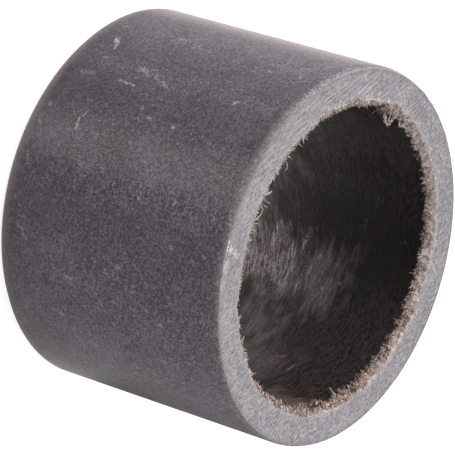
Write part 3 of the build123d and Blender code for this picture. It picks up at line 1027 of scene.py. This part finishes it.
# The tufts: the few places on the front edge where whole yarns came loose and
# hang in loops, or mat into a brown pad. Each has its side and half width in
# degrees, strands, length in mm, paleness, droop, and share of looped ends.
TUFTS = [
    (184.0, 2.6, 50, 0.7, 0.9, 0.2, 0.3),
    (179.5, 2.2, 90, 1.75, 0.16, 0.35, 0.3),
    (176.0, 2.4, 90, 1.8, 0.36, 0.35, 0.3),
    (172.0, 1.4, 36, 1.1, 0.95, 0.5, 0.5),
    (168.5, 1.2, 24, 0.9, 0.8, 0.3, 0.6),
    (165.5, 1.0, 16, 1.2, 0.9, 0.6, 0.7),
    (159.0, 2.2, 26, 0.95, 0.75, 0.4, 0.5),
    (138.2, 1.0, 26, 0.85, 0.9, 0.1, 0.2),
    (147.0, 2.0, 22, 0.8, 0.8, 0.3, 0.4),
    (122.0, 4.0, 36, 0.6, 0.78, 0.2, 0.3),
    (192.0, 3.0, 70, 1.05, 0.9, 0.15, 0.5),
    (197.0, 3.2, 120, 1.2, 0.75, 0.12, 0.5),
    (205.0, 3.0, 40, 0.75, 0.85, 0.2, 0.5),
    (212.0, 3.4, 50, 0.75, 0.6, 0.2, 0.5),
    (221.0, 3.6, 60, 0.8, 0.5, 0.3, 0.5),
    (230.0, 3.0, 36, 0.65, 0.85, 0.2, 0.6),
    (243.5, 1.4, 22, 1.05, 0.45, 0.2, 0.5),
    (255.5, 1.2, 10, 0.8, 0.7, 0.4, 0.2),
    (259.0, 1.2, 10, 0.95, 0.6, 0.3, 0.2),
    (277.0, 0.9, 9, 0.7, 0.5, 0.0, 1.0),
    (305.0, 6.0, 26, 0.55, 0.6, 0.1, 0.3),
    (336.0, 3.4, 60, 0.75, 0.3, 0.4, 0.2),
    (350.0, 4.5, 70, 0.8, 0.35, 0.5, 0.2),
    (5.0, 5.0, 70, 0.9, 0.45, 0.5, 0.2),
    (20.8, 0.8, 8, 1.3, 0.6, 0.1, 0.1),
    (28.6, 0.9, 9, 1.2, 0.65, 0.0, 0.2),
    (41.0, 3.0, 40, 0.8, 0.4, 0.5, 0.3),
    (52.5, 1.6, 24, 1.0, 0.85, 0.2, 0.7),
    (71.5, 0.9, 7, 1.0, 0.6, 0.2, 0.2),
    (76.0, 3.0, 36, 0.7, 0.3, 0.3, 0.3),
    (80.0, 0.8, 7, 0.9, 0.65, 0.2, 0.2),
    (96.5, 0.8, 6, 1.0, 0.7, 0.0, 0.1),
    (200.0, 4.0, 80, 0.95, 0.42, 0.12, 0.5),
    (209.0, 4.0, 70, 0.85, 0.45, 0.12, 0.5),
    (222.0, 6.0, 80, 0.75, 0.45, 0.15, 0.5),
    (238.0, 6.0, 70, 0.7, 0.45, 0.15, 0.5),
    (254.0, 6.0, 80, 0.8, 0.5, 0.15, 0.5),
]


def grow_tufts(name, tear, seed):
    """All the tufts as one mesh of thin strands."""
    dice = np.random.default_rng(seed)
    bends, thicknesses, tones = [], [], []
    for side, half_width, strands, reach, pale, droop, looped in TUFTS:
        turn = np.radians(side + dice.normal(0, half_width / 1.6, strands)) % (2 * math.pi)
        inward, onward, outward = ways_at(turn, 1)
        down = dice.uniform(0.02, 0.55, strands)
        lean = dice.normal(0, 0.3)
        way = inward + onward * (lean + dice.normal(0, 0.35, (strands, 1)))
        way = unit(way + outward * dice.uniform(-0.35, 0.35, (strands, 1)))
        fall = -droop * outward + onward * dice.normal(0, 0.6, (strands, 1))
        length = reach * dice.uniform(0.55, 1.1, (strands, 1))
        loop = (dice.random((strands, 1)) < looped) * 1.0
        start = at_tear(tear, turn, down) - 0.05 * inward
        first = start + 0.45 * length * way
        second = first + length * (0.3 * way + 0.35 * fall)
        away = way * (0.25 - 0.75 * loop) + fall * (0.5 + 0.2 * loop)
        bends.append((start, first, second, second + 0.45 * length * away))
        thicknesses.append(dice.uniform(0.05, 0.11, strands))
        tones.append(np.clip(pale + dice.normal(0, 0.16, strands), 0, 1))
    joined = [np.concatenate([bend[part] for bend in bends]) for part in range(4)]
    return strand_mesh(name, bent(*joined), np.concatenate(thicknesses), np.concatenate(tones))


tufts = bpy.data.objects.new("tufts", grow_tufts("tufts", front_tear, seed=23))
bpy.context.scene.collection.objects.link(tufts)
tufts.data.materials.append(cotton)
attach(tufts, "root")


# The loose yarns: whole threads that hang from the front edge into the bore,
# each twisted from four plies. Each has its root, the middle of its bend, its
# other end in mm, its thickness and how pale it is; a loop ends in the tear.
YARNS = [
    ((-19.5, 0.7, 35.4), (-18.2, 3.3, 34.75), (-20.0, 3.3, 35.5), 0.29, 0.85),
    ((-19.6, 2.2, 35.5), (-18.6, 2.95, 34.95), (-19.4, 3.6, 35.4), 0.17, 0.75),
    ((-19.6, 4.5, 35.5), (-18.4, 5.3, 35.35), (-19.3, 6.1, 35.4), 0.14, 0.9),
    ((2.3, -20.7, 35.92), (2.6, -19.85, 35.95), (3.2, -20.6, 35.9), 0.09, 0.85),
    ((2.9, -20.35, 35.9), (4.7, -20.15, 35.93), (6.4, -20.1, 35.85), 0.1, 0.9),
    ((-3.4, -20.45, 35.85), (-2.65, -19.45, 35.92), (-1.3, -20.5, 35.85), 0.1, 0.85),
    ((-4.35, -20.5, 35.85), (-3.95, -19.25, 36.0), (-3.96, -18.4, 35.9), 0.08, 0.95),
    ((-3.5, -20.6, 35.8), (-3.4, -19.5, 36.0), (-3.25, -18.6, 35.9), 0.07, 0.95),
    ((-4.7, -20.1, 35.85), (-4.95, -19.35, 35.95), (-5.45, -18.8, 35.9), 0.13, 0.9),
    ((-9.7, -18.3, 35.85), (-8.95, -17.2, 35.9), (-8.2, -17.35, 35.85), 0.1, 0.8),
    ((18.2, 9.6, 35.2), (16.95, 8.3, 35.5), (16.4, 7.3, 35.4), 0.13, 0.62),
    ((18.4, 9.7, 35.4), (17.2, 8.9, 35.6), (16.8, 7.9, 35.4), 0.12, 0.62),
    ((19.7, 6.0, 34.7), (17.8, 4.6, 34.7), (16.9, 5.3, 34.5), 0.05, 0.3),
]


def twist_yarns(name, plies=4, steps=16, turns_each=2.5):
    """Every yarn as plies that wind round its bend."""
    dice = np.random.default_rng(53)
    paths, thicknesses, tones = [], [], []
    share = np.linspace(0, 1, steps)[None, :, None]
    for *ends, thickness, pale in YARNS:
        root, middle, end = [np.array([spot], float) for spot in ends]
        pulled = (8 * middle - root - end) / 6
        path = bent(root, pulled + (root - end) / 6, pulled - (root - end) / 6, end, steps)
        level = unit(np.cross(root - middle, end - middle) + np.array([[0.001, 0.002, 0.01]]))[:, None, :]
        beside = unit(np.cross(unit(np.gradient(path, axis=1)), level))
        for ply in range(plies):
            angle = 2 * math.pi * (ply / plies + turns_each * share)
            ply_path = path + 0.34 * thickness * (np.cos(angle) * level + np.sin(angle) * beside)
            paths.append(ply_path + dice.normal(0, 0.3 * thickness, (1, steps, 3)))
            thicknesses.append(thickness * dice.uniform(0.36, 0.6))
            tones.append(pale + dice.uniform(-0.45, 0.15))
    taper = np.array([0.7] + [1.0] * (steps - 4) + [0.9, 0.6, 0.3])
    return strand_mesh(name, np.concatenate(paths), np.array(thicknesses), np.array(tones), taper)


loose_yarns = bpy.data.objects.new("loose_yarns", twist_yarns("loose_yarns"))
bpy.context.scene.collection.objects.link(loose_yarns)
loose_yarns.data.materials.append(cotton)
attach(loose_yarns, "root")


# The back edge tore less, because the cutter went in there: its lint is short
# and thin.
back_lint_mesh = grow_lint(
    "back_lint", back_tear, clumps=480, out_way=-1, reach=0.34, paleness=0.65, seed=37
)
back_lint = bpy.data.objects.new("back_lint", back_lint_mesh)
bpy.context.scene.collection.objects.link(back_lint)
back_lint.data.materials.append(cotton)
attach(back_lint, "root")


# The floor is a white light table, brightest under the middle of the bushing.
# The lens and the sheen of the resin see it as clean white, a little of which
# still takes the bushing's shadow; a black flag keeps its glare off one side.
FLOOR_HALF = 1.5
# Radii in mm between which the light from under the bushing fades
GLOW_ENDS = 23.0
GLOW_WHOLE = 15.0
# The flag starts and is whole at these x and y in mm, and cuts this share of
# the glare near its edge and further back
FLAG_X = (16.0, 24.0)
FLAG_Y = (4.0, 8.0)
FLAG_NEAR = 0.95
FLAG_FAR = 0.69
floor_mesh = bpy.data.meshes.new("floor")
floor_corners = [(-1, -1), (1, -1), (1, 1), (-1, 1)]
floor_mesh.from_pydata([(x * FLOOR_HALF, y * FLOOR_HALF, 0) for x, y in floor_corners], [], [(0, 1, 2, 3)])
floor = bpy.data.objects.new("floor", floor_mesh)
bpy.context.scene.collection.objects.link(floor)


def white_card():
    material, tree, shader = new_material("white_card")
    shader["Base Color"].default_value = (0.9, 0.9, 0.9, 1)
    shader["Roughness"].default_value = 1.0
    away = put(tree, "VectorMath", {0: place_in_mm(tree)}, operation="LENGTH").outputs["Value"]
    middle = between(tree, away, GLOW_ENDS, GLOW_WHOLE)
    lamp = put(tree, "Emission", {"Color": (1, 1, 1, 1), "Strength": sums(tree, "MULTIPLY", middle, 0.8)})
    card = put(tree, "AddShader", {0: tree.nodes["Principled BSDF"].outputs[0], 1: lamp.outputs[0]})
    path = put(tree, "LightPath").outputs
    seen = sums(tree, "MAXIMUM", path["Is Camera Ray"], path["Is Glossy Ray"])
    seen = sums(tree, "MAXIMUM", seen, path["Is Transmission Ray"])
    glow_here = sums(tree, "MULTIPLY_ADD", middle, 1.3, 0.86)
    white = put(tree, "Emission", {"Color": (1, 1, 1, 1), "Strength": glow_here}).outputs[0]
    weak_card = put(tree, "BsdfDiffuse", {"Color": (0.3, 0.3, 0.3, 1)}).outputs[0]
    both = put(tree, "AddShader", {0: white, 1: weak_card}).outputs[0]
    shown = put(tree, "MixShader", {0: seen, 1: card.outputs[0], 2: both}).outputs[0]
    beside = put(tree, "SeparateXYZ", {0: place_in_mm(tree)}).outputs
    flagged = between(tree, beside[0], 18.0, 30.0, 0.0, 0.1)
    behind = between(tree, sums(tree, "SUBTRACT", beside[1], beside[0]), -34.0, -24.0, 0.0, 0.9)
    behind = sums(tree, "MULTIPLY", behind, between(tree, beside[1], *FLAG_Y))
    behind = sums(tree, "MULTIPLY", behind, between(tree, beside[1], 10.0, 40.0, FLAG_NEAR, FLAG_FAR))
    flagged = sums(tree, "ADD", flagged, sums(tree, "MULTIPLY", behind, between(tree, beside[0], *FLAG_X)))
    flagged = sums(tree, "MULTIPLY", flagged, path["Is Glossy Ray"])
    black = put(tree, "BsdfDiffuse", {"Color": (0.02, 0.02, 0.02, 1)}).outputs[0]
    shown = put(tree, "MixShader", {0: flagged, 1: shown, 2: black}).outputs[0]
    tree.links.new(shown, tree.nodes["Material Output"].inputs["Surface"])
    return material


floor.data.materials.append(white_card())


# The light is a white tent: an even glow from all round, and soft boxes over
# one side and over the front end. The tent's glow, and how much more or less
# of it comes from both x sides, from +X, from +Y and from above:
TENT_GLOW = 0.38
TENT_SIDES = 0.18
TENT_RIGHT = -0.22
TENT_BEHIND = 0.08
TENT_ABOVE = 0.24
world = bpy.data.worlds.new("tent")
bpy.context.scene.world = world
world.use_nodes = True
sky = world.node_tree
glow = sky.nodes["Background"]
sky_path = put(sky, "LightPath").outputs
glow.inputs["Color"].default_value = (1, 1, 1, 1)
way = put(sky, "SeparateXYZ", {0: put(sky, "TexCoord").outputs["Generated"]}).outputs
lit = sums(sky, "MULTIPLY_ADD", sums(sky, "MULTIPLY", way[0], way[0]), TENT_SIDES, TENT_GLOW)
lit = sums(sky, "ADD", lit, sums(sky, "MULTIPLY", way[0], TENT_RIGHT))
lit = sums(sky, "ADD", lit, sums(sky, "MULTIPLY", way[1], TENT_BEHIND))
above = sums(sky, "MAXIMUM", way[2], 0.0)
lit = sums(sky, "ADD", lit, sums(sky, "MULTIPLY", above, TENT_ABOVE))
sky_shown = put(sky, "Mix", {0: sky_path["Is Camera Ray"], 2: lit, 3: 1.0}, data_type="FLOAT").outputs[0]
sky.links.new(sky_shown, glow.inputs["Strength"])


def soft_box(name, azimuth, elevation, away, size, watts):
    """A square lamp that faces the bushing, from an azimuth about +Z."""
    data = bpy.data.lights.new(name, "AREA")
    data.shape = "SQUARE"
    data.size = size
    data.energy = watts
    lamp = bpy.data.objects.new(name, data)
    bpy.context.scene.collection.objects.link(lamp)
    turn, rise = math.radians(azimuth), math.radians(elevation)
    way = Vector((math.cos(turn) * math.cos(rise), math.sin(turn) * math.cos(rise), math.sin(rise)))
    lamp.location = (cad_low + cad_high) / 2 + way * away
    lamp.rotation_euler = way.to_track_quat("Z", "Y").to_euler()


soft_box("side_box", azimuth=185, elevation=25, away=0.6, size=0.4, watts=2.5)
soft_box("front_box", azimuth=80, elevation=60, away=0.6, size=0.5, watts=2.0)

view = bpy.context.scene.view_settings
view.view_transform = "Standard"
